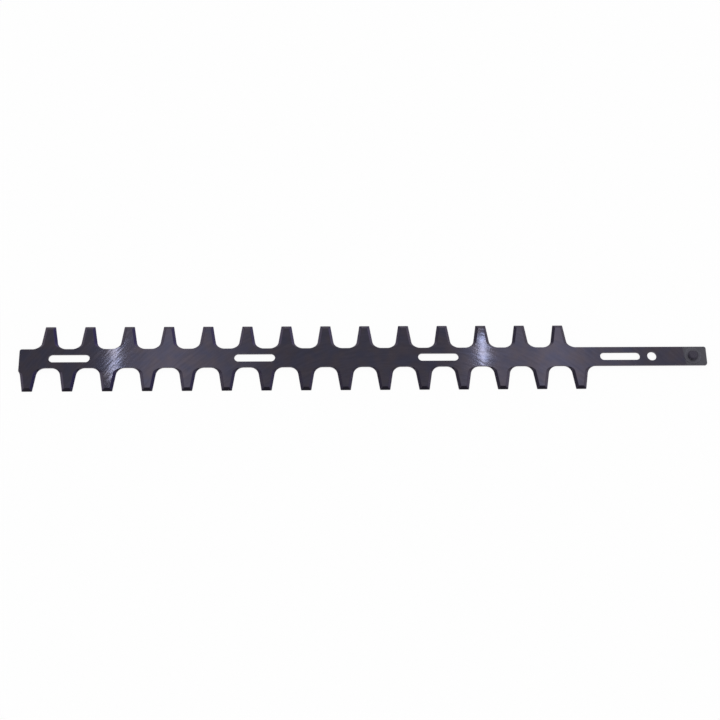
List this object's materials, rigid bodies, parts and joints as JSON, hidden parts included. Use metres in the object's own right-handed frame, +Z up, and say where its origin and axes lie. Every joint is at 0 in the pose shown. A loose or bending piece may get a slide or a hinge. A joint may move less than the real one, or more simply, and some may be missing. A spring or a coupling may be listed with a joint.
{
  "type": "hedge trimmer blade",
  "caption": "Long flat steel blade with bevelled cutting teeth on both edges, guide slots on its centre line and a drive stud riveted into its tail.",
  "frame": {"origin": "axis of the drive stud at the flat sliding face", "axes": "+X along the blade from the drive stud to the tip, +Y across it to the longer row of teeth, +Z up along the drive stud, out of the bevelled face"},
  "size_m": [0.614, 0.0612, 0.0055],
  "materials": {
    "ground_steel": "rotary ground, darkened by oil",
    "turned_steel": "turned and hardened"
  },
  "bodies": {
    "root": {"blade": "ground_steel", "drive_pin": "turned_steel"}
  },
  "joints": []
}
